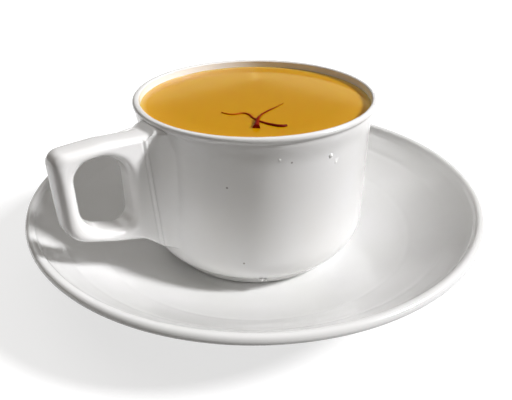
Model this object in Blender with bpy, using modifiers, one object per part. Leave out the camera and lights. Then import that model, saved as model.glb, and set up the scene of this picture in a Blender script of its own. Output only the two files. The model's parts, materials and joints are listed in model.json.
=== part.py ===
"""A cup of kahwa, the saffron tea, on its saucer.

The cup is one piece of glazed porcelain: a nearly straight wall with a rolled lip, a recessed
foot ring and a squarish loop handle that joins the wall through a solid web.  It stands in a
deep saucer.  The tea fills it almost to the lip, and two saffron threads lie crossed on it.

Metres, +Z up, origin at the middle of the saucer's underside, handle along -X.
"""

import math

import bmesh
import bpy

# ---- driving dimensions -------------------------------------------------------------------

GAP = 0.0003                    # air left between two pieces that rest on each other
TURNING_STEPS = 56              # flats round a turned piece

SAUCER_RADIUS = 0.07488
SAUCER_HEIGHT = 0.02445
SAUCER_BEAD = 0.0015            # radius of the rounded edge
SAUCER_WELL_RADIUS = 0.0330     # flat middle that the cup stands on
SAUCER_WELL_Z = 0.0042
SAUCER_CURVE = 1.7              # how late the bowl turns up: 1 is a cone, more is deeper
SAUCER_WALL = 0.0033
SAUCER_FOOT_RADIUS = 0.0435
SAUCER_FOOT_WIDTH = 0.0035
SAUCER_RECESS_Z = 0.0014        # underside of the middle, inside the foot ring

CUP_FOOT_Z = SAUCER_WELL_Z + GAP
CUP_HEIGHT = 0.05254
RIM_RADIUS = 0.03805
LIP_ROUND = 0.00078             # radius of the lip's rolled edge
BODY_RADIUS = 0.03684
NECK_RADIUS = 0.03758           # just under the lip, where the wall flares out a little
CAVITY_RADIUS = 0.0342
CAVITY_MOUTH = 0.03635          # the wall thins to this under the lip
CAVITY_FLOOR_Z = 0.0108
CAVITY_CORNER = 0.0100
BASE_EDGE_RADIUS = 0.0289       # middle of the base's rounded edge, which is an ellipse
BASE_EDGE_Z = 0.0170
BASE_EDGE_WIDTH = 0.0079
BASE_EDGE_DEPTH = 0.0102
BASE_EDGE_SWEEP = 70            # degrees of the ellipse that show above the foot ring
FOOT_RADIUS = 0.03015
FOOT_WIDTH = 0.0026
FOOT_RECESS = 0.0019
LIP_Z = CUP_FOOT_Z + CUP_HEIGHT

HANDLE_WIDTH = 0.0090
HANDLE_EDGE = 0.0013            # rounding along the handle's edges
HANDLE_REACH = 0.0672           # from the cup's axis to the handle's outer side
HANDLE_TOP_Z = 0.0554
HANDLE_ROOT_COVER = 0.0005      # wall left between the handle's root and the cavity
HANDLE_FLARE_START = 0.0428     # nearer the cup than this the handle widens
HANDLE_FLARE_END = 0.0365       # just inside the wall
HANDLE_FLARE = 0.55             # share by which it is wider at the wall

DRINK_LEVEL = 0.0546
THREAD_LIFT = 0.00015           # how far a floating thread's middle stands above the tea

# A corner is (distance from the cup's axis, height, radius of its rounding).
HANDLE_OUTLINE = [
    (0.0340, 0.0556, 0),
    (0.0385, 0.0556, 0.0006),
    (0.0402, 0.0541, 0.0012),
    (0.0533, HANDLE_TOP_Z, 0.0200),
    (HANDLE_REACH, HANDLE_TOP_Z - 0.0002, 0.0036),
    (HANDLE_REACH, 0.0305, 0.0068),
    (0.0537, 0.0251, 0.0300),
    (0.0451, 0.0224, 0.0060),
    (0.0385, 0.0163, 0.0050),
    (0.0340, 0.0148, 0),
]
FINGER_HOLE = [
    (0.0474, 0.0519, 0.0085),
    (0.0628, 0.0519, 0.0055),
    (0.0628, 0.0322, 0.0093),
    (0.0474, 0.0272, 0.0040),
]

# Each thread is (x, y, radius) from its pale thin end to the dark end.
LONG_THREAD = [
    (-0.0155, -0.0033, 0.00020),
    (-0.0151, -0.0054, 0.00022),
    (-0.0137, -0.0071, 0.00024),
    (-0.0111, -0.0081, 0.00026),
    (-0.0106, -0.0101, 0.00030),
    (-0.0114, -0.0130, 0.00034),
    (-0.0116, -0.0153, 0.00036),
    (-0.0114, -0.0183, 0.00038),
    (-0.0107, -0.0209, 0.00044),
    (-0.0095, -0.0231, 0.00048),
    (-0.0080, -0.0237, 0.00034),
]
SHORT_THREAD = [
    (0.0037, -0.0094, 0.00018),
    (-0.0006, -0.0106, 0.00022),
    (-0.0050, -0.0116, 0.00026),
    (-0.0077, -0.0125, 0.00030),
    (-0.0098, -0.0140, 0.00034),
    (-0.0117, -0.0155, 0.00036),
    (-0.0136, -0.0171, 0.00050),
    (-0.0157, -0.0192, 0.00090),
]
CROSSING = (-0.0116, -0.0154)
CROSSING_RISE = 0.00055         # the short thread rises and the long one sinks by this
CROSSING_SPREAD = 0.0026        # length over which they do so
THREAD_SIDES = 2                # bevel resolution of a thread


# ---- helpers ------------------------------------------------------------------------------

def clear_scene():
    for item in list(bpy.data.objects):
        bpy.data.objects.remove(item, do_unlink=True)


def new_collection(name):
    collection = bpy.data.collections.new(name)
    bpy.context.scene.collection.children.link(collection)
    return collection


def new_material(name, colour, roughness, transmission=0.0):
    material = bpy.data.materials.new(name)
    material.use_nodes = True
    shader = material.node_tree.nodes["Principled BSDF"]
    shader.inputs["Base Color"].default_value = (*colour, 1.0)
    shader.inputs["Roughness"].default_value = roughness
    shader.inputs["Metallic"].default_value = 0.0
    shader.inputs["Transmission Weight"].default_value = transmission
    return material


def arc(centre, width, height, start, end, count):
    """Points on an ellipse in the (radius, height) plane, from one angle to another."""
    points = []
    for step in range(count + 1):
        angle = math.radians(start + (end - start) * step / count)
        points.append((centre[0] + width * math.cos(angle), centre[1] + height * math.sin(angle)))
    return points


def ease(start, end, count):
    """Points from start to end that leave and arrive upright, in an S."""
    points = []
    for step in range(1, count):
        share = step / count
        blend = (1 - math.cos(math.pi * share)) / 2
        points.append((start[0] + (end[0] - start[0]) * blend, start[1] + (end[1] - start[1]) * share))
    return points


def rounded(corners, segments=5):
    """Walk a closed outline of (x, z, radius) corners and replace each by its arc."""
    points = []
    count = len(corners)
    for index, (x, z, radius) in enumerate(corners):
        if radius == 0:
            points.append((x, z))
            continue
        before = corners[index - 1]
        after = corners[(index + 1) % count]
        to_before = (before[0] - x, before[1] - z)
        to_after = (after[0] - x, after[1] - z)
        length_before = math.hypot(*to_before)
        length_after = math.hypot(*to_after)
        u = (to_before[0] / length_before, to_before[1] / length_before)
        v = (to_after[0] / length_after, to_after[1] / length_after)
        half = math.acos(max(-1.0, min(1.0, u[0] * v[0] + u[1] * v[1]))) / 2
        reach = radius / math.tan(half)
        middle_length = math.hypot(u[0] + v[0], u[1] + v[1])
        centre_distance = radius / math.sin(half)
        centre = (
            x + (u[0] + v[0]) / middle_length * centre_distance,
            z + (u[1] + v[1]) / middle_length * centre_distance,
        )
        first = (x + u[0] * reach - centre[0], z + u[1] * reach - centre[1])
        last = (x + v[0] * reach - centre[0], z + v[1] * reach - centre[1])
        turn = math.atan2(first[0] * last[1] - first[1] * last[0], first[0] * last[0] + first[1] * last[1])
        start = math.atan2(first[1], first[0])
        for step in range(segments + 1):
            angle = start + turn * step / segments
            points.append((centre[0] + radius * math.cos(angle), centre[1] + radius * math.sin(angle)))
    return points


def turned(name, profile, material, collection):
    """Turn a (radius, height) profile round the Z axis; it ends down its outer side."""
    mesh = bpy.data.meshes.new(name)
    vertices = [(radius, 0.0, height) for radius, height in profile]
    edges = [(index, index + 1) for index in range(len(profile) - 1)]
    mesh.from_pydata(vertices, edges, [])
    piece = bpy.data.objects.new(name, mesh)
    collection.objects.link(piece)
    screw = piece.modifiers.new("turn", "SCREW")
    screw.axis = "Z"
    screw.steps = TURNING_STEPS
    screw.render_steps = TURNING_STEPS
    screw.use_merge_vertices = True
    screw.merge_threshold = 0.00001
    screw.use_smooth_shade = True
    piece.data.materials.append(material)
    return piece


def slab(name, outline, thickness, collection):
    """A plate in the XZ plane with the given (distance, height) outline, laid along -X."""
    mesh = bpy.data.meshes.new(name)
    work = bmesh.new()
    face = work.faces.new([work.verts.new((-x, -thickness / 2, z)) for x, z in outline])
    grown = bmesh.ops.extrude_face_region(work, geom=[face])
    moved = [item for item in grown["geom"] if isinstance(item, bmesh.types.BMVert)]
    bmesh.ops.translate(work, verts=moved, vec=(0.0, thickness, 0.0))
    bmesh.ops.recalc_face_normals(work, faces=work.faces)
    work.to_mesh(mesh)
    work.free()
    piece = bpy.data.objects.new(name, mesh)
    collection.objects.link(piece)
    return piece


def add_boolean(piece, other, operation):
    cut = piece.modifiers.new(operation.lower(), "BOOLEAN")
    cut.operation = operation
    cut.object = other
    cut.solver = "EXACT"
    return cut


def hide_cutter(cutter):
    cutter.hide_render = True
    cutter.display_type = "WIRE"


def as_mesh(piece, name, collection):
    """Replace an object by the mesh it evaluates to, with its loose caps welded."""
    graph = bpy.context.evaluated_depsgraph_get()
    graph.update()
    mesh = bpy.data.meshes.new_from_object(piece.evaluated_get(graph))
    work = bmesh.new()
    work.from_mesh(mesh)
    bmesh.ops.remove_doubles(work, verts=work.verts, dist=0.000001)
    bmesh.ops.recalc_face_normals(work, faces=work.faces)
    work.to_mesh(mesh)
    work.free()
    made = bpy.data.objects.new(name, mesh)
    made.matrix_world = piece.matrix_world
    collection.objects.link(made)
    bpy.data.objects.remove(piece, do_unlink=True)
    return made


# ---- the saucer ---------------------------------------------------------------------------

def bowl_height(radius, well_z):
    """Height of the saucer's upper surface beyond its flat middle."""
    inner_edge = SAUCER_RADIUS - 2 * SAUCER_BEAD
    top = SAUCER_HEIGHT - SAUCER_BEAD
    share = (radius - SAUCER_WELL_RADIUS) / (inner_edge - SAUCER_WELL_RADIUS)
    return well_z + (top - well_z) * share ** SAUCER_CURVE


def saucer_profile():
    inner_edge = SAUCER_RADIUS - 2 * SAUCER_BEAD
    bead_middle = (SAUCER_RADIUS - SAUCER_BEAD, SAUCER_HEIGHT - SAUCER_BEAD)
    rings = 9
    profile = [(0.0, SAUCER_WELL_Z)]
    for step in range(rings):
        radius = SAUCER_WELL_RADIUS + (inner_edge - SAUCER_WELL_RADIUS) * step / rings
        profile.append((radius, bowl_height(radius, SAUCER_WELL_Z)))
    profile += arc(bead_middle, SAUCER_BEAD, SAUCER_BEAD, 170, -50, 8)
    outer = SAUCER_RADIUS - 0.0030
    for step in range(6):
        radius = outer + (SAUCER_FOOT_RADIUS + 0.0010 - outer) * step / 5
        profile.append((radius, bowl_height(radius, SAUCER_WELL_Z) - SAUCER_WALL))
    foot_inner = SAUCER_FOOT_RADIUS - SAUCER_FOOT_WIDTH
    profile += [
        (SAUCER_FOOT_RADIUS, 0.0006),
        (SAUCER_FOOT_RADIUS - 0.0005, 0.0),
        (foot_inner + 0.0004, 0.0),
        (foot_inner, 0.0004),
        (foot_inner - 0.0004, SAUCER_RECESS_Z),
        (0.0, SAUCER_RECESS_Z),
    ]
    return profile


def make_saucer(collection, porcelain):
    return turned("saucer", saucer_profile(), porcelain, collection)


# ---- the cup ------------------------------------------------------------------------------

def cavity_profile(clearance, top):
    """The inside of the cup from the middle of its floor up to the given height."""
    radius = CAVITY_RADIUS - clearance
    corner = CAVITY_CORNER - clearance
    floor = CAVITY_FLOOR_Z + clearance
    profile = [(0.0, floor)]
    profile += arc((radius - corner, floor + corner), corner, corner, -90, 0, 6)
    flare_start = (radius, 0.0440)
    flare_end = (CAVITY_MOUTH - clearance, 0.0535)
    profile.append(flare_start)
    profile += ease(flare_start, flare_end, 5)
    profile.append(flare_end)
    profile.append((CAVITY_MOUTH - clearance, top))
    return profile


def outside_profile():
    """The outside of the cup from just past the lip's crest down to the middle of its base."""
    lip_middle = (RIM_RADIUS - LIP_ROUND, LIP_Z - LIP_ROUND)
    edge_middle = (BASE_EDGE_RADIUS, BASE_EDGE_Z)
    foot_inner = FOOT_RADIUS - FOOT_WIDTH
    profile = arc(lip_middle, LIP_ROUND, LIP_ROUND, 160, -50, 9)
    profile += [
        (NECK_RADIUS, 0.0552),
        (NECK_RADIUS, 0.0544),
        (NECK_RADIUS - 0.00025, 0.0522),
        (BODY_RADIUS + 0.00015, 0.0496),
        (BODY_RADIUS, 0.0460),
        (BODY_RADIUS, 0.0260),
    ]
    profile += arc(edge_middle, BASE_EDGE_WIDTH, BASE_EDGE_DEPTH, 0, -BASE_EDGE_SWEEP, 9)
    profile += [
        (FOOT_RADIUS + 0.0006, 0.0069),
        (FOOT_RADIUS + 0.0001, 0.0062),
        (FOOT_RADIUS, CUP_FOOT_Z + 0.0003),
        (FOOT_RADIUS - 0.0003, CUP_FOOT_Z),
        (foot_inner + 0.0003, CUP_FOOT_Z),
        (foot_inner, CUP_FOOT_Z + 0.0003),
        (foot_inner - 0.0006, CUP_FOOT_Z + FOOT_RECESS),
        (0.0, CUP_FOOT_Z + FOOT_RECESS),
    ]
    return profile


def flare_root(piece):
    """Widen the handle smoothly as it comes up to the wall of the cup."""
    work = bmesh.new()
    work.from_mesh(piece.data)
    loops = 4
    length = HANDLE_FLARE_START - HANDLE_FLARE_END
    for step in range(loops + 1):
        place = (-HANDLE_FLARE_START + length * step / loops, 0.0, 0.0)
        everything = work.verts[:] + work.edges[:] + work.faces[:]
        bmesh.ops.bisect_plane(work, geom=everything, plane_co=place, plane_no=(1.0, 0.0, 0.0))
    for vertex in work.verts:
        share = (vertex.co.x + HANDLE_FLARE_START) / length
        if share > 0:
            vertex.co.y *= 1 + HANDLE_FLARE * min(share, 1.3) ** 2
    bmesh.ops.triangulate(work, faces=work.faces)
    work.to_mesh(piece.data)
    work.free()


def make_handle(collection, cutters, porcelain):
    """A flat loop with soft edges; its root ends in the cup's wall, short of the cavity."""
    blank = slab("handle_blank", rounded(HANDLE_OUTLINE), HANDLE_WIDTH, collection)
    hole = slab("finger_hole_cutter", rounded(FINGER_HOLE), HANDLE_WIDTH * 3, cutters)
    add_boolean(blank, hole, "DIFFERENCE")
    soften = blank.modifiers.new("soft_edges", "BEVEL")
    soften.width = HANDLE_EDGE
    soften.segments = 3
    soften.limit_method = "ANGLE"
    soften.angle_limit = math.radians(60)
    soften.use_clamp_overlap = False
    loop = as_mesh(blank, "handle_loop", collection)
    flare_root(loop)
    bpy.data.objects.remove(hole, do_unlink=True)

    above_lip = LIP_Z + LIP_ROUND
    bore_profile = cavity_profile(-HANDLE_ROOT_COVER, above_lip)
    bore_profile.append((0.0, above_lip))
    bore_profile.reverse()
    bore = turned("handle_bore_cutter", bore_profile, porcelain, cutters)
    add_boolean(loop, bore, "DIFFERENCE")
    handle = as_mesh(loop, "handle", cutters)
    bpy.data.objects.remove(bore, do_unlink=True)
    hide_cutter(handle)
    return handle


def make_cup(collection, cutters, porcelain):
    lip_inner_z = LIP_Z - LIP_ROUND
    profile = cavity_profile(0.0, lip_inner_z) + outside_profile()
    cup = turned("cup", profile, porcelain, collection)
    handle = make_handle(collection, cutters, porcelain)
    handle.data.materials.append(porcelain)
    add_boolean(cup, handle, "UNION")
    return cup


# ---- the saffron threads ------------------------------------------------------------------

def thread_height(x, y, rise):
    """Height of a thread's middle: it floats, and bends up or down where the two cross."""
    away = math.hypot(x - CROSSING[0], y - CROSSING[1]) / CROSSING_SPREAD
    return DRINK_LEVEL + THREAD_LIFT + rise * math.exp(-away * away)


def thread_tube(name, points, rise, extra, collection):
    """A tapering tube through the thread's points, thicker by extra when it is a cutter."""
    curve = bpy.data.curves.new(name, "CURVE")
    curve.dimensions = "3D"
    curve.bevel_depth = 1.0
    curve.bevel_resolution = THREAD_SIDES
    curve.resolution_u = 2
    curve.use_fill_caps = True
    spline = curve.splines.new("BEZIER")
    spline.bezier_points.add(len(points) - 1)
    for knot, (x, y, radius) in zip(spline.bezier_points, points):
        knot.co = (x, y, thread_height(x, y, rise))
        knot.radius = radius + extra
        knot.handle_left_type = "AUTO"
        knot.handle_right_type = "AUTO"
    piece = bpy.data.objects.new(name + "_curve", curve)
    collection.objects.link(piece)
    return as_mesh(piece, name, collection)


def make_thread(name, points, rise, collection, saffron):
    thread = thread_tube(name, points, rise, 0.0, collection)
    thread.data.materials.append(saffron)
    return thread


# ---- the tea ------------------------------------------------------------------------------

def make_kahwa(collection, cutters, tea):
    """The tea fills the cup to its level, with a shallow groove round each thread."""
    profile = cavity_profile(GAP, DRINK_LEVEL)
    profile.append((0.0, DRINK_LEVEL))
    kahwa = turned("kahwa", profile, tea, collection)
    grooves = (
        ("groove_long", LONG_THREAD, -CROSSING_RISE),
        ("groove_short", SHORT_THREAD, CROSSING_RISE),
    )
    for name, points, rise in grooves:
        groove = thread_tube(name, points, rise, GAP, cutters)
        hide_cutter(groove)
        add_boolean(kahwa, groove, "DIFFERENCE")
    return kahwa


def main():
    clear_scene()
    parts = new_collection("cup_of_kahwa")
    cutters = new_collection("cutters")
    porcelain = new_material("porcelain", (0.86, 0.85, 0.83), 0.12)
    tea = new_material("kahwa", (0.72, 0.42, 0.03), 0.05, transmission=0.4)
    saffron = new_material("saffron", (0.33, 0.02, 0.01), 0.45)
    make_saucer(parts, porcelain)
    make_cup(parts, cutters, porcelain)
    make_kahwa(parts, cutters, tea)
    make_thread("saffron_thread_long", LONG_THREAD, -CROSSING_RISE, parts, saffron)
    make_thread("saffron_thread_short", SHORT_THREAD, CROSSING_RISE, parts, saffron)


main()
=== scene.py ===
"""A cup of kahwa, the saffron tea: a glazed cup and saucer, the tea, and two saffron threads."""

import json
import math

import bpy
from mathutils import Matrix, Vector

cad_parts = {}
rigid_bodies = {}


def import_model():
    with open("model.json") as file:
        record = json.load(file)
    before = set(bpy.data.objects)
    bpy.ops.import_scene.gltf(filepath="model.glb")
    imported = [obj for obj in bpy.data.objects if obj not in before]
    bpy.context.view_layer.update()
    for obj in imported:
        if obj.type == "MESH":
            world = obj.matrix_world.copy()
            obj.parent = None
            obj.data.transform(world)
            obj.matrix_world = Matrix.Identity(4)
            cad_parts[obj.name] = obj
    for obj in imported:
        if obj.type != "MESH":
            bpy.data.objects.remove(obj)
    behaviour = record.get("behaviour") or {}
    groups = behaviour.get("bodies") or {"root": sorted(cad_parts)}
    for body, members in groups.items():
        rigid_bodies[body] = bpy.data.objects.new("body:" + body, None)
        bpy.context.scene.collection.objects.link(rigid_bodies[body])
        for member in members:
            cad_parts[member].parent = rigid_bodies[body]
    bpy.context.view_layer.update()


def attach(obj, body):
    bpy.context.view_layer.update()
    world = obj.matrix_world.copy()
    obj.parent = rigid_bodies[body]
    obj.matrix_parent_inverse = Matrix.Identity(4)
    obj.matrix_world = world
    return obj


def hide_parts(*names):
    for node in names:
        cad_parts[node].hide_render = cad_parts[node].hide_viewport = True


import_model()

# ---- saucer -------------------------------------------------------------------------------
# The saucer is jiggered porcelain, one turned piece: a flat middle, a bowl that turns up late,
# a thick rounded rim and a foot ring.  It is dipped in clear glaze and fired white.

saucer_radius = 0.07488
saucer_height = 0.02445
saucer_rim_round = 0.0015           # radius of the rounded rim
saucer_middle_radius = 0.0330
saucer_middle_z = 0.0042
saucer_wall = 0.0033
saucer_foot_radius = 0.0435
saucer_foot_width = 0.0035
saucer_foot_round = 0.0006          # radius of the foot ring's lower edges
saucer_recess_z = 0.0014            # underside of the middle, inside the foot ring
saucer_bowl_power = 1.7             # how late the bowl turns up
saucer_bowl_steps = 110             # fine enough for the shallow rings to show
saucer_rings = (                    # radius, depth and half width of each shallow turned ring
    (0.0536, 0.00007, 0.0009),
    (0.0646, 0.00011, 0.0009),
    (0.0706, 0.00012, 0.0008),
)
turning_steps = 224


def begin_object_mode():
    """Leave edit mode and let go of everything that is selected."""
    if bpy.context.mode != "OBJECT":
        bpy.ops.object.mode_set(mode="OBJECT")
    bpy.ops.object.select_all(action="DESELECT")


def draw_line(name, points):
    """A new object with one line of edges, pulled out point by point from a single corner."""
    begin_object_mode()
    bpy.ops.mesh.primitive_plane_add(size=0.01, location=(0.0, 0.0, 0.0))
    piece = bpy.context.object
    piece.name = name
    bpy.ops.object.mode_set(mode="EDIT")
    bpy.ops.mesh.select_all(action="SELECT")
    bpy.ops.mesh.merge(type="CENTER")
    bpy.ops.transform.translate(value=points[0])
    for here, there in zip(points[:-1], points[1:]):
        step = tuple(b - a for a, b in zip(here, there))
        bpy.ops.mesh.extrude_vertices_move(TRANSFORM_OT_translate={"value": step})
    bpy.ops.mesh.select_all(action="SELECT")
    return piece


def weld_outwards():
    """Weld the doubles of the mesh being edited and turn every face outwards."""
    bpy.ops.mesh.select_all(action="SELECT")
    bpy.ops.mesh.remove_doubles(threshold=0.000002)
    bpy.ops.mesh.normals_make_consistent(inside=False)


def throw_on_wheel(name, profile):
    """Spin a (radius, height) line round the middle into a closed turned piece."""
    piece = draw_line(name, [(radius, 0.0, height) for radius, height in profile])
    bpy.ops.mesh.spin(steps=turning_steps, angle=2 * math.pi, center=(0, 0, 0), axis=(0, 0, 1))
    weld_outwards()
    bpy.ops.object.mode_set(mode="OBJECT")
    bpy.ops.object.shade_smooth_by_angle(angle=math.radians(40))
    return piece


def round_off(middle, width, height, start, end, count):
    """Points on part of an ellipse in the (radius, height) plane, from one angle to another."""
    points = []
    for step in range(count + 1):
        angle = math.radians(start + (end - start) * step / count)
        points.append((middle[0] + width * math.cos(angle), middle[1] + height * math.sin(angle)))
    return points


def bowl_height(radius):
    """Height of the saucer's upper side at a radius beyond its flat middle."""
    inner_edge = saucer_radius - 2 * saucer_rim_round
    rise = saucer_height - saucer_rim_round - saucer_middle_z
    share = max(0.0, (radius - saucer_middle_radius) / (inner_edge - saucer_middle_radius))
    return saucer_middle_z + rise * share ** saucer_bowl_power


def saucer_outline():
    """The saucer's (radius, height) line from its middle over the rim to the foot ring."""
    inner_edge = saucer_radius - 2 * saucer_rim_round
    rim_middle = (saucer_radius - saucer_rim_round, saucer_height - saucer_rim_round)
    outline = [(0.0, saucer_middle_z), (0.015, saucer_middle_z), (0.028, saucer_middle_z)]
    for step in range(saucer_bowl_steps):
        share = step / saucer_bowl_steps
        radius = saucer_middle_radius + (inner_edge - saucer_middle_radius) * share
        sunk = sum(depth * math.exp(-((radius - middle) / width) ** 2)
                   for middle, depth, width in saucer_rings)
        outline.append((radius, bowl_height(radius) - sunk))
    outline += round_off(rim_middle, saucer_rim_round, saucer_rim_round, 168, -52, 18)
    foot_top_radius = saucer_foot_radius + 0.0012
    for step in range(15):
        radius = inner_edge + (foot_top_radius - inner_edge) * step / 14
        outline.append((radius, bowl_height(radius) - saucer_wall))
    foot_inner = saucer_foot_radius - saucer_foot_width
    outer_corner = (saucer_foot_radius - saucer_foot_round, saucer_foot_round)
    inner_corner = (foot_inner + saucer_foot_round, saucer_foot_round)
    outline += round_off(outer_corner, saucer_foot_round, saucer_foot_round, 0, -90, 4)
    outline += round_off(inner_corner, saucer_foot_round, saucer_foot_round, -90, -180, 4)
    outline += [
        (foot_inner - 0.0005, saucer_recess_z),
        (0.020, saucer_recess_z),
        (0.0, saucer_recess_z),
    ]
    return outline


# Pure white for painted highlights: glints painted onto the glaze beads.
painted_highlight_paint = (1.0, 1.0, 0.98, 1.0)
pinhole_paint = (0.30, 0.28, 0.26, 1.0)
glaze_spot_size = 0.00030           # radius of a painted highlight or a pinhole in the glaze


def glaze_finish(name, whiteness, tint, painted_highlight_places, pin_places):
    """Clear glaze over white porcelain: a soft sheen under a wet gloss, never quite even."""
    material = bpy.data.materials.new(name)
    material.use_nodes = True
    nodes = material.node_tree.nodes
    links = material.node_tree.links
    shader = nodes["Principled BSDF"]
    shader.inputs["IOR"].default_value = 1.5
    shader.inputs["Coat Weight"].default_value = 0.55
    shader.inputs["Coat Roughness"].default_value = 0.06
    shader.inputs["Coat IOR"].default_value = 1.5

    place = nodes.new("ShaderNodeTexCoord")
    cloud = nodes.new("ShaderNodeTexNoise")
    cloud.inputs["Scale"].default_value = 42.0
    cloud.inputs["Detail"].default_value = 3.0
    links.new(place.outputs["Object"], cloud.inputs["Vector"])
    shade = nodes.new("ShaderNodeValToRGB")
    thick, thin = shade.color_ramp.elements
    thick.position = 0.32
    thick.color = (
        whiteness * tint[0] * 0.975,
        whiteness * tint[1] * 0.972,
        whiteness * tint[2] * 0.96,
        1.0,
    )
    thin.position = 0.70
    thin.color = (whiteness, whiteness, whiteness, 1.0)
    links.new(cloud.outputs["Fac"], shade.inputs["Fac"])
    colour = shade.outputs["Color"]

    # The white spots are painted highlights standing in for glints; the dark spots are real
    # pinholes.
    for places, paint in ((painted_highlight_places, painted_highlight_paint), (pin_places, pinhole_paint)):
        for spot in places:
            reach = nodes.new("ShaderNodeVectorMath")
            reach.operation = "DISTANCE"
            reach.inputs[1].default_value = spot
            links.new(place.outputs["Object"], reach.inputs[0])
            near = nodes.new("ShaderNodeMapRange")
            near.interpolation_type = "SMOOTHSTEP"
            near.inputs["From Min"].default_value = glaze_spot_size * 0.45
            near.inputs["From Max"].default_value = glaze_spot_size * 1.5
            near.inputs["To Min"].default_value = 1.0
            near.inputs["To Max"].default_value = 0.0
            links.new(reach.outputs["Value"], near.inputs["Value"])
            blend = nodes.new("ShaderNodeMix")
            blend.data_type = "RGBA"
            blend.inputs["B"].default_value = paint
            links.new(near.outputs["Result"], blend.inputs["Factor"])
            links.new(colour, blend.inputs["A"])
            colour = blend.outputs["Result"]
    links.new(colour, shader.inputs["Base Color"])

    patch = nodes.new("ShaderNodeTexNoise")
    patch.inputs["Scale"].default_value = 45.0
    patch.inputs["Detail"].default_value = 1.0
    links.new(place.outputs["Object"], patch.inputs["Vector"])
    gloss = nodes.new("ShaderNodeMapRange")
    gloss.inputs["From Min"].default_value = 0.3
    gloss.inputs["From Max"].default_value = 0.7
    gloss.inputs["To Min"].default_value = 0.18
    gloss.inputs["To Max"].default_value = 0.26
    links.new(patch.outputs["Fac"], gloss.inputs["Value"])
    links.new(gloss.outputs["Result"], shader.inputs["Roughness"])

    swell = nodes.new("ShaderNodeTexNoise")
    swell.inputs["Scale"].default_value = 75.0
    swell.inputs["Detail"].default_value = 1.0
    links.new(place.outputs["Object"], swell.inputs["Vector"])
    wave = nodes.new("ShaderNodeBump")
    wave.inputs["Strength"].default_value = 0.22
    wave.inputs["Distance"].default_value = 0.0006
    links.new(swell.outputs["Fac"], wave.inputs["Height"])
    links.new(wave.outputs["Normal"], shader.inputs["Normal"])
    links.new(wave.outputs["Normal"], shader.inputs["Coat Normal"])
    return material


saucer = throw_on_wheel("glazed_saucer", saucer_outline())
saucer.data.materials.append(glaze_finish("saucer_glaze", 0.80, (0.99, 1.0, 0.995), (), ()))
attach(saucer, "root")
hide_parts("saucer")

# ---- cup ----------------------------------------------------------------------------------
# The cup is slip-cast porcelain with a rolled lip, a rounded base edge and a foot ring.  Its
# squarish handle is cast apart and luted on with slip, which leaves a fine ridge at the join.

cup_foot_z = 0.0045
lip_z = 0.05704
lip_radius = 0.03805
lip_round = 0.00098
neck_radius = 0.03758
body_radius = 0.03684
body_top_z = 0.0455                 # the wall is upright from here down to the base edge
base_edge_middle = (0.0289, 0.0170)  # radius and height of the middle of the base's rounding
base_edge_width = 0.0079
base_edge_height = 0.0102
cavity_radius = 0.0342
cavity_mouth = 0.03620
cavity_floor_z = 0.0108
cavity_corner = 0.0100
flare_foot_z = 0.0440               # the inside widens from here up to the mouth
flare_top_z = 0.0535
foot_radius = 0.03015
foot_width = 0.0026
foot_round = 0.0004                 # radius of the foot ring's lower edges
foot_recess = 0.0019

handle_width = 0.0090
handle_reach = 0.0672
handle_top_z = 0.0554
handle_edge_round = 0.0026
hole_edge_round = 0.0024
join_slope = 0.058                  # how far the luted join leans out for each metre of height
join_foot = (0.0409, 0.0230)        # radius and height of the join's lower end
slip_ridge_height = 0.00026
slip_dip_depth = 0.00014

# A corner is (distance from the cup's axis, height, radius of its rounding).
handle_corners = [
    (0.0335, 0.0556, 0),
    (0.0385, 0.0556, 0.0006),
    (0.0402, 0.0541, 0.0012),
    (0.0533, handle_top_z, 0.0200),
    (handle_reach, handle_top_z - 0.0002, 0.0036),
    (handle_reach, 0.0305, 0.0068),
    (0.0537, 0.0251, 0.0300),
    (0.0451, 0.0224, 0.0060),
    (0.0385, 0.0163, 0.0050),
    (0.0335, 0.0148, 0),
]
hole_corners = [
    (0.0474, 0.0519, 0.0085),
    (0.0628, 0.0519, 0.0055),
    (0.0628, 0.0322, 0.0093),
    (0.0474, 0.0272, 0.0040),
]


def ease_between(start, end, count):
    """Points between two places of a wall that leaves and arrives upright."""
    points = []
    for step in range(1, count):
        share = step / count
        blend = (1 - math.cos(math.pi * share)) / 2
        radius = start[0] + (end[0] - start[0]) * blend
        points.append((radius, start[1] + (end[1] - start[1]) * share))
    return points


def cavity_line(clearance, top):
    """The inside of the cup from the middle of its floor up to a height."""
    radius = cavity_radius - clearance
    corner = cavity_corner - clearance
    floor = cavity_floor_z + clearance
    line = [(0.0, floor), (0.010, floor), (0.018, floor)]
    line += round_off((radius - corner, floor + corner), corner, corner, -90, 0, 14)
    flare_start = (radius, flare_foot_z)
    flare_end = (cavity_mouth - clearance, flare_top_z)
    line.append(flare_start)
    line += ease_between(flare_start, flare_end, 12)
    line += [flare_end, (cavity_mouth - clearance, top)]
    return line


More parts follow.
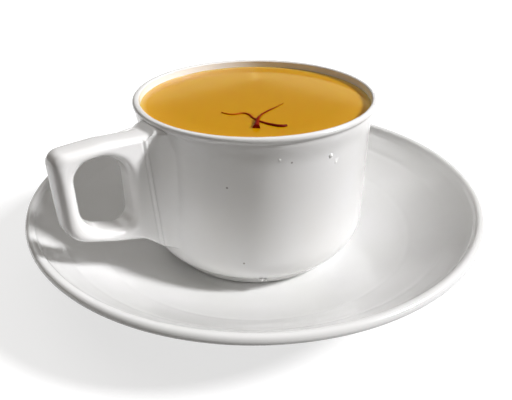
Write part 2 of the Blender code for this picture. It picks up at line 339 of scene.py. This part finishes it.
def cup_outline():
    """The cup's (radius, height) line from the cavity's floor over the lip to the foot ring."""
    lip_middle = (lip_radius - lip_round, lip_z - lip_round)
    outline = cavity_line(0.0, lip_z - 0.0017)
    outline += [(cavity_mouth + 0.00010, lip_z - 0.0012)]
    outline += round_off(lip_middle, lip_round, lip_round, 142, -48, 16)
    outline += [
        (neck_radius + 0.00005, 0.05512),
        (neck_radius - 0.00007, 0.05490),
        (neck_radius - 0.00005, 0.0544),
        (neck_radius - 0.00012, 0.0535),
        (neck_radius - 0.00030, 0.0522),
        (neck_radius - 0.00048, 0.0508),
        (body_radius + 0.00012, 0.0494),
        (body_radius + 0.00004, 0.0476),
        (body_radius, body_top_z),
    ]
    for step in range(1, 14):
        outline.append((body_radius, body_top_z - 0.0020 * step))
    outline += round_off(base_edge_middle, base_edge_width, base_edge_height, 0, -68, 20)
    outline += [
        (foot_radius + 0.00145, 0.00735),
        (foot_radius + 0.00125, 0.00708),
        (foot_radius + 0.00090, 0.00695),
        (foot_radius + 0.00015, 0.00690),
        (foot_radius - 0.00005, 0.00665),
        (foot_radius, 0.00600),
    ]
    foot_inner = foot_radius - foot_width
    outer_corner = (foot_radius - foot_round, cup_foot_z + foot_round)
    inner_corner = (foot_inner + foot_round, cup_foot_z + foot_round)
    outline += round_off(outer_corner, foot_round, foot_round, 0, -90, 4)
    outline += round_off(inner_corner, foot_round, foot_round, -90, -180, 4)
    outline += [
        (foot_inner - 0.0006, cup_foot_z + foot_recess),
        (0.012, cup_foot_z + foot_recess),
        (0.0, cup_foot_z + foot_recess),
    ]
    return outline


def walk_corners(corners, stations, counts):
    """Points round a closed outline of (distance, height, rounding) corners, evenly spread
    between the places nearest to the stations, so that two outlines can be matched."""
    fine = []
    for index, (x, z, radius) in enumerate(corners):
        here = Vector((x, z))
        to_before = (Vector(corners[index - 1][:2]) - here).normalized()
        to_after = (Vector(corners[(index + 1) % len(corners)][:2]) - here).normalized()
        if radius == 0:
            fine.append(here)
            continue
        half = to_before.angle(to_after) / 2
        middle = here + (to_before + to_after).normalized() * (radius / math.sin(half))
        reach = radius / math.tan(half)
        first = here + to_before * reach - middle
        last = here + to_after * reach - middle
        turn = math.atan2(first.x * last.y - first.y * last.x, first.dot(last))
        start = math.atan2(first.y, first.x)
        for step in range(25):
            angle = start + turn * step / 24
            fine.append(middle + Vector((math.cos(angle), math.sin(angle))) * radius)
    breaks = []
    for station in stations:
        away = [(point - Vector(station)).length for point in fine]
        breaks.append(away.index(min(away)))
    walk = []
    for place, count in enumerate(counts):
        index = breaks[place]
        last = breaks[(place + 1) % len(breaks)]
        stretch = [fine[index]]
        while index != last:
            index = (index + 1) % len(fine)
            stretch.append(fine[index])
        lengths = [(b - a).length for a, b in zip(stretch[:-1], stretch[1:])]
        for step in range(count):
            target = sum(lengths) * step / count
            segment = 0
            while target > lengths[segment]:
                target -= lengths[segment]
                segment += 1
            walk.append(stretch[segment].lerp(stretch[segment + 1], target / lengths[segment]))
    return walk


def join_start(height):
    """Distance from the axis at which the handle's side begins to widen towards the wall."""
    return join_foot[0] + join_slope * (height - join_foot[1])


def half_width(distance, height):
    """Half of the handle's width: straight, then a hollow curve that runs into the wall."""
    plain = handle_width / 2
    start = join_start(height)
    wall = body_radius - 0.00003
    hollow = (start ** 2 - wall ** 2 + plain ** 2) / (2 * (wall - plain))
    reached = start * wall / (wall + hollow)
    inwards = min(max(start - distance, 0.0), start - reached)
    return plain + hollow - math.sqrt(max(hollow ** 2 - inwards ** 2, 0.0))


def ridge(distance, height):
    """The slip squeezed out along the join: a shallow dip and then a low ridge."""
    away = distance - join_start(height)
    dip = slip_dip_depth * math.exp(-((away - 0.00035) / 0.00030) ** 2)
    swell = slip_ridge_height * math.exp(-((away + 0.00045) / 0.00038) ** 2)
    return swell - dip


def handle_section(inner, outer):
    """One soft-cornered section of the handle, from the finger hole out to its outer side.
    It is a list of (distance, across, height) places, in order round the section."""
    along = outer - inner
    length = along.length
    inner_round = min(hole_edge_round, 0.50 * length)
    outer_round = min(handle_edge_round, 0.46 * length)
    half = handle_width / 2
    flat = length - inner_round - outer_round
    side = [(inner_round - inner_round * math.sin(a), half - hole_edge_round * (1 - math.cos(a)))
            for a in (math.pi / 2 * (7 - step) / 7 for step in range(8))]
    side += [(inner_round + flat * step / 11, half) for step in range(1, 11)]
    side += [(length - outer_round + outer_round * math.sin(a),
              half - handle_edge_round * (1 - math.cos(a)))
             for a in (math.pi / 2 * step / 5 for step in range(6))]
    section = [(0.0, 0.0)] + side + [(length, 0.0)]
    section += [(reach, -across) for reach, across in reversed(side)]
    places = []
    for reach, across in section:
        spot = inner + along * (reach / length)
        places.append((-spot.x, across, spot.y))
    return places


def set_places(piece, places):
    """Move the selected corners of the mesh being edited to the given places, in their order."""
    bpy.ops.object.mode_set(mode="OBJECT")
    chosen = [corner for corner in piece.data.vertices if corner.select]
    for corner, place in zip(chosen, places):
        corner.co = place
    bpy.ops.object.mode_set(mode="EDIT")


side_counts = (52, 44, 52, 60)
outer_walk = walk_corners(
    handle_corners,
    ((0.0402, 0.0545), (0.0662, 0.0545), (0.0655, 0.0316), (0.0451, 0.0224)),
    side_counts,
)
hole_walk = walk_corners(
    hole_corners,
    ((0.0490, 0.0508), (0.0610, 0.0508), (0.0600, 0.0330), (0.0486, 0.0280)),
    side_counts,
)
sections = [handle_section(inner, outer) for inner, outer in zip(hole_walk, outer_walk)]
begin_object_mode()
bpy.ops.mesh.primitive_circle_add(vertices=len(sections[0]), radius=0.005)
handle = bpy.context.object
handle.name = "cup_handle"
bpy.ops.object.mode_set(mode="EDIT")
bpy.ops.mesh.select_all(action="SELECT")
set_places(handle, sections[0])
for section in sections[1:] + sections[:1]:
    bpy.ops.mesh.extrude_region_move()
    set_places(handle, section)
weld_outwards()
join_cuts = [0.0016 - 0.0002 * step for step in range(17)]
join_cuts += [-0.0016 - 0.00045 * step for step in range(1, 13)]
for out in join_cuts:
    bpy.ops.mesh.select_all(action="SELECT")
    bpy.ops.mesh.bisect(
        plane_co=(-join_foot[0] - out, 0.0, join_foot[1]),
        plane_no=(1.0, 0.0, join_slope),
    )
bpy.ops.object.mode_set(mode="OBJECT")
for corner in handle.data.vertices:
    distance = -corner.co.x
    share = corner.co.y / (handle_width / 2)
    corner.co.y = half_width(distance, corner.co.z) * share
    corner.co.y += ridge(distance, corner.co.z) * math.copysign(share ** 4, share)

# The handle runs on into the cup, and this bore takes off what would stand inside.
above_lip = lip_z + 0.002
bore_into_wall = 0.0004
bore_line = cavity_line(-bore_into_wall, above_lip) + [(0.0, above_lip)]
bore = throw_on_wheel("handle_bore", bore_line)


def carve(piece, other, operation):
    """Cut or join another piece into this one for good, and remove the other."""
    begin_object_mode()
    bpy.context.view_layer.objects.active = piece
    piece.select_set(True)
    cut = piece.modifiers.new(operation.lower(), "BOOLEAN")
    cut.operation = operation
    cut.object = other
    cut.solver = "EXACT"
    bpy.ops.object.modifier_apply(modifier=cut.name)
    bpy.data.objects.remove(other, do_unlink=True)


inside_lean = Vector((0.00034, -0.00029, 0.0))     # the inside sits this much off the middle
inside_lean_rise = 0.0070           # it leans over fully this far above the flare's foot


def lean_inside(piece):
    """Slide the inside of the mouth over a little, as the core of the mould had sat."""
    crest = lip_radius - lip_round
    for corner in piece.data.vertices:
        radius = math.hypot(corner.co.x, corner.co.y)
        on_lip = corner.co.z > lip_z - 0.0010
        if radius > crest or (radius > body_radius - 0.0001 and not on_lip):
            continue
        rise = min(max((corner.co.z - flare_foot_z) / inside_lean_rise, 0.0), 1.0)
        corner.co += inside_lean * rise * min((crest - radius) / lip_round, 1.0)


carve(handle, bore, "DIFFERENCE")
cup = throw_on_wheel("handled_cup", cup_outline())
lean_inside(cup)
carve(cup, handle, "UNION")

# A bead of glaze is (x, y, z, radius); most of it is sunk in the wall.
glaze_beads = (
    (-0.0035, -0.0362, 0.0487, 0.00090),
    (-0.0013, -0.0361, 0.0461, 0.00082),
    (-0.0180, -0.0315, 0.0504, 0.00085),
    (-0.0207, -0.0277, 0.0093, 0.00070),
    (-0.0195, -0.0284, 0.0088, 0.00045),
)
begin_object_mode()
for x, y, z, size in glaze_beads:
    bpy.ops.mesh.primitive_uv_sphere_add(
        segments=20, ring_count=12, radius=size, location=(x, y, z))
beads = bpy.context.object
for item in bpy.context.scene.objects:
    item.select_set(item.name.startswith("Sphere"))
bpy.ops.object.join()
bpy.ops.object.transform_apply(location=True, rotation=False, scale=False)
carve(cup, beads, "UNION")
begin_object_mode()
bpy.context.view_layer.objects.active = cup
cup.select_set(True)
bpy.ops.object.mode_set(mode="EDIT")
weld_outwards()
bpy.ops.object.mode_set(mode="OBJECT")
bpy.ops.object.shade_smooth_by_angle(angle=math.radians(40))
cup.data.materials.clear()
# Painted highlights: the beads are real, but the pure white painted on them stands in for their
# glints.
cup_painted_highlights = (
    (-0.0036, -0.0370, 0.0487),
    (-0.0013, -0.0368, 0.0461),
    (-0.0184, -0.0322, 0.0504),
)
cup_pinholes = (
    (-0.02895, -0.02278, 0.04183),
    (-0.01538, -0.03374, 0.04911),
    (-0.02606, -0.02597, 0.01689),
)
cup.data.materials.append(
    glaze_finish("cup_glaze", 0.79, (1.0, 0.995, 0.985), cup_painted_highlights, cup_pinholes))
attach(cup, "root")
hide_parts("cup")

# ---- tea ----------------------------------------------------------------------------------
# The tea is an amber infusion, a little cloudy, filled almost to the lip.  It wets the glaze,
# so its edge creeps up the wall, and the white wall pales it where it thins out there.

tea_level = 0.0546
tea_creep = 0.00012                 # how far the edge climbs the wall
tea_creep_width = 0.0016
tea_creep_fall = 0.00045            # distance in which the climb falls to a third
tea_into_wall = 0.00012             # the tea reaches this far into the wall, so no gap shows


def tea_outline():
    """The tea's (radius, height) line: the cavity's shape, then the surface and its edge."""
    edge = cavity_mouth + tea_into_wall
    line = cavity_line(-tea_into_wall, tea_level + tea_creep)
    for step in range(12):
        back = tea_creep_width * ((step + 1) / 12) ** 1.3
        height = tea_level + tea_creep * math.exp(-back / tea_creep_fall)
        line.append((edge - tea_into_wall - back, height))
    line += [(edge - 0.003, tea_level), (0.026, tea_level), (0.013, tea_level), (0.0, tea_level)]
    return line


def amber_finish():
    """Cloudy amber with a wet surface; it pales where it thins out over the white wall."""
    material = bpy.data.materials.new("amber_tea")
    material.use_nodes = True
    nodes = material.node_tree.nodes
    links = material.node_tree.links
    shader = nodes["Principled BSDF"]
    shader.inputs["Roughness"].default_value = 0.085
    shader.inputs["IOR"].default_value = 1.333
    shader.inputs["Subsurface Weight"].default_value = 0.6
    shader.inputs["Subsurface Radius"].default_value = (1.0, 0.6, 0.15)
    shader.inputs["Subsurface Scale"].default_value = 0.003

    place = nodes.new("ShaderNodeTexCoord")
    level = nodes.new("ShaderNodeVectorMath")
    level.operation = "MULTIPLY"
    level.inputs[1].default_value = (1.0, 1.0, 0.0)
    links.new(place.outputs["Object"], level.inputs[0])
    reach = nodes.new("ShaderNodeVectorMath")
    reach.operation = "DISTANCE"
    reach.inputs[1].default_value = inside_lean
    links.new(level.outputs["Vector"], reach.inputs[0])
    depth = nodes.new("ShaderNodeMapRange")
    depth.inputs["From Min"].default_value = 0.026
    depth.inputs["From Max"].default_value = cavity_mouth
    links.new(reach.outputs["Value"], depth.inputs["Value"])
    shade = nodes.new("ShaderNodeValToRGB")
    deep, shallow = shade.color_ramp.elements
    deep.position = 0.0
    deep.color = (0.55, 0.266, 0.0005, 1.0)
    shallow.position = 1.0
    shallow.color = (0.70, 0.45, 0.11, 1.0)
    between = shade.color_ramp.elements.new(0.80)
    between.color = (0.60, 0.298, 0.008, 1.0)
    links.new(depth.outputs["Result"], shade.inputs["Fac"])
    links.new(shade.outputs["Color"], shader.inputs["Base Color"])

    ripple = nodes.new("ShaderNodeTexNoise")
    ripple.inputs["Scale"].default_value = 60.0
    ripple.inputs["Detail"].default_value = 2.0
    links.new(place.outputs["Object"], ripple.inputs["Vector"])
    wave = nodes.new("ShaderNodeBump")
    wave.inputs["Strength"].default_value = 0.10
    wave.inputs["Distance"].default_value = 0.0004
    links.new(ripple.outputs["Fac"], wave.inputs["Height"])
    links.new(wave.outputs["Normal"], shader.inputs["Normal"])
    return material


tea = throw_on_wheel("saffron_tea", tea_outline())
lean_inside(tea)
tea.data.materials.append(amber_finish())
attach(tea, "root")
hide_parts("kahwa")

# ---- saffron threads ----------------------------------------------------------------------
# Two dried saffron stigmas float on the tea, one across the other.  Each is a limp tapering
# tube, pale at its thin end and deep red where it widens; the short one ends in a trumpet.

# Each thread is (x, y, radius) from its pale thin end to the dark end.
long_thread_line = [
    (-0.0155, -0.0033, 0.00020),
    (-0.0151, -0.0054, 0.00022),
    (-0.0137, -0.0071, 0.00024),
    (-0.0111, -0.0081, 0.00026),
    (-0.0106, -0.0101, 0.00030),
    (-0.0114, -0.0130, 0.00034),
    (-0.0116, -0.0153, 0.00036),
    (-0.0114, -0.0183, 0.00038),
    (-0.0107, -0.0209, 0.00044),
    (-0.0095, -0.0231, 0.00048),
    (-0.0080, -0.0237, 0.00034),
]
short_thread_line = [
    (0.0037, -0.0094, 0.00018),
    (-0.0006, -0.0106, 0.00022),
    (-0.0050, -0.0116, 0.00026),
    (-0.0077, -0.0125, 0.00030),
    (-0.0098, -0.0140, 0.00034),
    (-0.0117, -0.0155, 0.00042),
    (-0.0136, -0.0173, 0.00066),
    (-0.0156, -0.0194, 0.00108),
]
long_thread_span = 0.0218           # the colour deepens over this distance
short_thread_span = 0.0217

# Each colour stands at its share of the thread's span: pale end, dark end, between them.
long_thread_colours = (
    (0.10, (0.56, 0.150, 0.002, 1.0)),
    (1.00, (0.140, 0.004, 0.0005, 1.0)),
    (0.50, (0.34, 0.032, 0.001, 1.0)),
)
short_thread_colours = (
    (0.08, (0.38, 0.140, 0.003, 1.0)),
    (1.00, (0.20, 0.007, 0.0005, 1.0)),
    (0.42, (0.20, 0.024, 0.0005, 1.0)),
)
thread_crossing = (-0.0116, -0.0154)
short_thread_rise = 0.00062         # the short thread bends up over the long one
long_thread_rise = -0.00015
thread_spread = 0.0026              # how far from the crossing the bend reaches
thread_lift = 0.00015               # the threads' middle line stands this much above the tea


def lay_thread(name, line, rise):
    """A tapering tube along the thread's line, bent up or down where the two cross."""
    begin_object_mode()
    bpy.ops.curve.primitive_bezier_curve_add(location=(0.0, 0.0, 0.0))
    thread = bpy.context.object
    thread.name = name
    curve = thread.data
    curve.splines.clear()
    curve.bevel_depth = 1.0
    curve.bevel_resolution = 5
    curve.resolution_u = 12
    curve.use_fill_caps = True
    spline = curve.splines.new("BEZIER")
    spline.bezier_points.add(len(line) - 1)
    for knot, (x, y, radius) in zip(spline.bezier_points, line):
        away = math.hypot(x - thread_crossing[0], y - thread_crossing[1]) / thread_spread
        knot.co = (x, y, tea_level + thread_lift + rise * math.exp(-away * away))
        knot.radius = radius
        knot.handle_left_type = "AUTO"
        knot.handle_right_type = "AUTO"
    bpy.ops.object.convert(target="MESH")
    bpy.ops.object.mode_set(mode="EDIT")
    weld_outwards()
    bpy.ops.object.mode_set(mode="OBJECT")
    bpy.ops.object.shade_smooth_by_angle(angle=math.radians(60))
    return thread


def saffron_finish(name, pale_end, span, colours):
    """Wet saffron: its colour deepens from the pale end on, with fine wrinkles along it."""
    material = bpy.data.materials.new(name)
    material.use_nodes = True
    nodes = material.node_tree.nodes
    links = material.node_tree.links
    shader = nodes["Principled BSDF"]
    shader.inputs["Roughness"].default_value = 0.45
    shader.inputs["Specular IOR Level"].default_value = 0.08

    place = nodes.new("ShaderNodeTexCoord")
    reach = nodes.new("ShaderNodeVectorMath")
    reach.operation = "DISTANCE"
    reach.inputs[1].default_value = (pale_end[0], pale_end[1], tea_level)
    links.new(place.outputs["Object"], reach.inputs[0])
    blotch = nodes.new("ShaderNodeTexNoise")
    blotch.inputs["Scale"].default_value = 900.0
    links.new(place.outputs["Object"], blotch.inputs["Vector"])
    along = nodes.new("ShaderNodeMapRange")
    along.inputs["From Min"].default_value = 0.0
    along.inputs["From Max"].default_value = span
    links.new(reach.outputs["Value"], along.inputs["Value"])
    uneven = nodes.new("ShaderNodeMath")
    uneven.operation = "MULTIPLY_ADD"
    uneven.inputs[1].default_value = 0.16
    links.new(blotch.outputs["Fac"], uneven.inputs[0])
    links.new(along.outputs["Result"], uneven.inputs[2])
    shade = nodes.new("ShaderNodeValToRGB")
    ramp = shade.color_ramp.elements
    for index, (position, colour) in enumerate(colours):
        stop = ramp[index] if index < 2 else ramp.new(position)
        stop.position = position
        stop.color = colour
    links.new(uneven.outputs["Value"], shade.inputs["Fac"])
    links.new(shade.outputs["Color"], shader.inputs["Base Color"])

    wrinkle = nodes.new("ShaderNodeTexNoise")
    wrinkle.inputs["Scale"].default_value = 2600.0
    wrinkle.inputs["Detail"].default_value = 2.0
    links.new(place.outputs["Object"], wrinkle.inputs["Vector"])
    bump = nodes.new("ShaderNodeBump")
    bump.inputs["Strength"].default_value = 0.5
    bump.inputs["Distance"].default_value = 0.00006
    links.new(wrinkle.outputs["Fac"], bump.inputs["Height"])
    links.new(bump.outputs["Normal"], shader.inputs["Normal"])
    return material


long_thread = lay_thread("long_stigma", long_thread_line, long_thread_rise)
long_thread.data.materials.append(saffron_finish(
    "dark_saffron", long_thread_line[0], long_thread_span, long_thread_colours))
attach(long_thread, "root")
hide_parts("saffron_thread_long")

short_thread = lay_thread("short_stigma", short_thread_line, short_thread_rise)
short_thread.data.materials.append(saffron_finish(
    "red_saffron", short_thread_line[0], short_thread_span, short_thread_colours))
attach(short_thread, "root")
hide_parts("saffron_thread_short")

# ---- table, light and camera --------------------------------------------------------------
# A plain pale table stands before a pale backdrop.  Soft key lamps come from the right, large
# panels hang above and at the left, and two warm panels behind are mirrored in the tea alone.

def pale_paint(name, base, roughness, glow):
    """A paint that also glows white, so that it stays pale where little light reaches it."""
    paint = bpy.data.materials.new(name)
    paint.use_nodes = True
    sockets = paint.node_tree.nodes["Principled BSDF"].inputs
    sockets["Base Color"].default_value = base
    sockets["Roughness"].default_value = roughness
    sockets["Emission Color"].default_value = (1.0, 1.0, 1.0, 1.0)
    sockets["Emission Strength"].default_value = glow
    return paint


begin_object_mode()
bpy.ops.mesh.primitive_plane_add(size=6.0, location=(0.0, 0.0, 0.0))
table = bpy.context.object
table.name = "pale_table"
table.data.materials.append(pale_paint("pale_table_paint", (0.40, 0.40, 0.40, 1.0), 0.9, 0.68))
table.visible_diffuse = False       # its glow doesn't light the cup from below

# The backdrop is seen, but it neither lights the cup nor shades it.
begin_object_mode()
bpy.ops.mesh.primitive_cylinder_add(
    vertices=96, radius=2.9, depth=4.0, end_fill_type="NOTHING", location=(0.0, 0.0, 1.9))
backdrop = bpy.context.object
backdrop.name = "pale_backdrop"
backdrop.data.materials.append(
    pale_paint("pale_backdrop_paint", (0.0, 0.0, 0.0, 1.0), 0.5, 1.0))
backdrop.visible_diffuse = False
backdrop.visible_glossy = False
backdrop.visible_transmission = False
backdrop.visible_shadow = False

world = bpy.data.worlds.new("pale_surround")
bpy.context.scene.world = world
world.use_nodes = True
surround = world.node_tree.nodes
surround["Background"].inputs["Color"].default_value = (1.0, 0.925, 0.845, 1.0)
up = surround.new("ShaderNodeTexCoord")
split = surround.new("ShaderNodeSeparateXYZ")
world.node_tree.links.new(up.outputs["Generated"], split.inputs["Vector"])
glow = surround.new("ShaderNodeMapRange")
glow.inputs["From Min"].default_value = -0.3
glow.inputs["From Max"].default_value = 0.3
glow.inputs["To Min"].default_value = 0.06
glow.inputs["To Max"].default_value = 0.172
world.node_tree.links.new(split.outputs["Z"], glow.inputs["Value"])
world.node_tree.links.new(glow.outputs["Result"], surround["Background"].inputs["Strength"])


def light_only(lamp, pieces):
    """Let a lamp light only the given pieces."""
    receivers = bpy.data.collections.new("lit_by_" + lamp.name)
    for piece in pieces:
        receivers.objects.link(piece)
    lamp.light_linking.receiver_collection = receivers


def hang_key(name, azimuth, elevation, power):
    """A soft distant lamp that shines from a direction, given in degrees."""
    key = bpy.data.lights.new(name, "SUN")
    key.energy = power
    key.angle = math.radians(10.0)
    key.color = (0.99, 0.985, 1.0)
    lamp = bpy.data.objects.new(name, key)
    bpy.context.scene.collection.objects.link(lamp)
    rise = math.radians(elevation)
    turn = Matrix.Rotation(math.radians(azimuth), 4, "Z")
    direction = turn @ Vector((math.cos(rise), 0.0, math.sin(rise)))
    lamp.matrix_world = direction.to_track_quat("Z", "Y").to_matrix().to_4x4()
    return lamp


# Each key lamp lights its own pieces: the saucer's stands a little nearer to the viewer.
cup_key = hang_key("cup_key_light", -42.0, 36.5, 4.55)
light_only(cup_key, (cup,))
saucer_key = hang_key("saucer_key_light", -50.0, 38.0, 4.0)
light_only(saucer_key, (saucer, table, tea, long_thread, short_thread))


def hang_panel(name, place, width, height, power, roll=0.0):
    """A soft rectangular lamp that hangs at a place and faces the cup."""
    panel = bpy.data.lights.new(name, "AREA")
    panel.shape = "RECTANGLE"
    panel.size = width
    panel.size_y = height
    panel.energy = power
    lamp = bpy.data.objects.new(name, panel)
    bpy.context.scene.collection.objects.link(lamp)
    aim = Vector(place).to_track_quat("Z", "Y").to_matrix().to_4x4()
    turn = Matrix.Rotation(math.radians(roll), 4, "Z")
    lamp.matrix_world = Matrix.Translation(place) @ aim @ turn
    return lamp


hang_panel("overhead_panel", (0.1, 0.0, 2.0), 2.0, 2.0, 6.5)
hang_panel("left_panel", (-0.1, 1.1, 1.1), 0.9, 0.9, 2.4)

# The two back panels are what the wet tea mirrors along its far edge.
back_panel_width = 0.72
back_panel_height = 0.27
back_panel_power = 0.46
back_panels = (                     # name, place and roll of each
    ("back_panel_left", (0.3355, 0.9421, 0.272), 6.4),
    ("back_panel_right", (0.8695, 0.4939, 0.272), -6.4),
)
for name, place, roll in back_panels:
    back_lamp = hang_panel(
        name, place, back_panel_width, back_panel_height, back_panel_power, roll)
    back_lamp.data.color = (1.0, 0.93, 0.44)
    light_only(back_lamp, (tea,))

camera_place = (-0.10396, -0.12411, 0.11012)
camera_turn = -40.083               # degrees about the upright
camera_tilt = 60.195                # degrees up from looking straight down
camera_roll = -0.213                # degrees about the line of sight
camera = bpy.data.cameras.new("camera")
camera.sensor_width = 36.0
camera.lens = 37.092
camera.clip_start = 0.01
viewer = bpy.data.objects.new("camera", camera)
bpy.context.scene.collection.objects.link(viewer)
viewer.matrix_world = (
    Matrix.Translation(camera_place)
    @ Matrix.Rotation(math.radians(camera_turn), 4, "Z")
    @ Matrix.Rotation(math.radians(camera_tilt), 4, "X")
    @ Matrix.Rotation(math.radians(camera_roll), 4, "Z")
)
bpy.context.scene.camera = viewer
bpy.context.scene.view_settings.view_transform = "Standard"
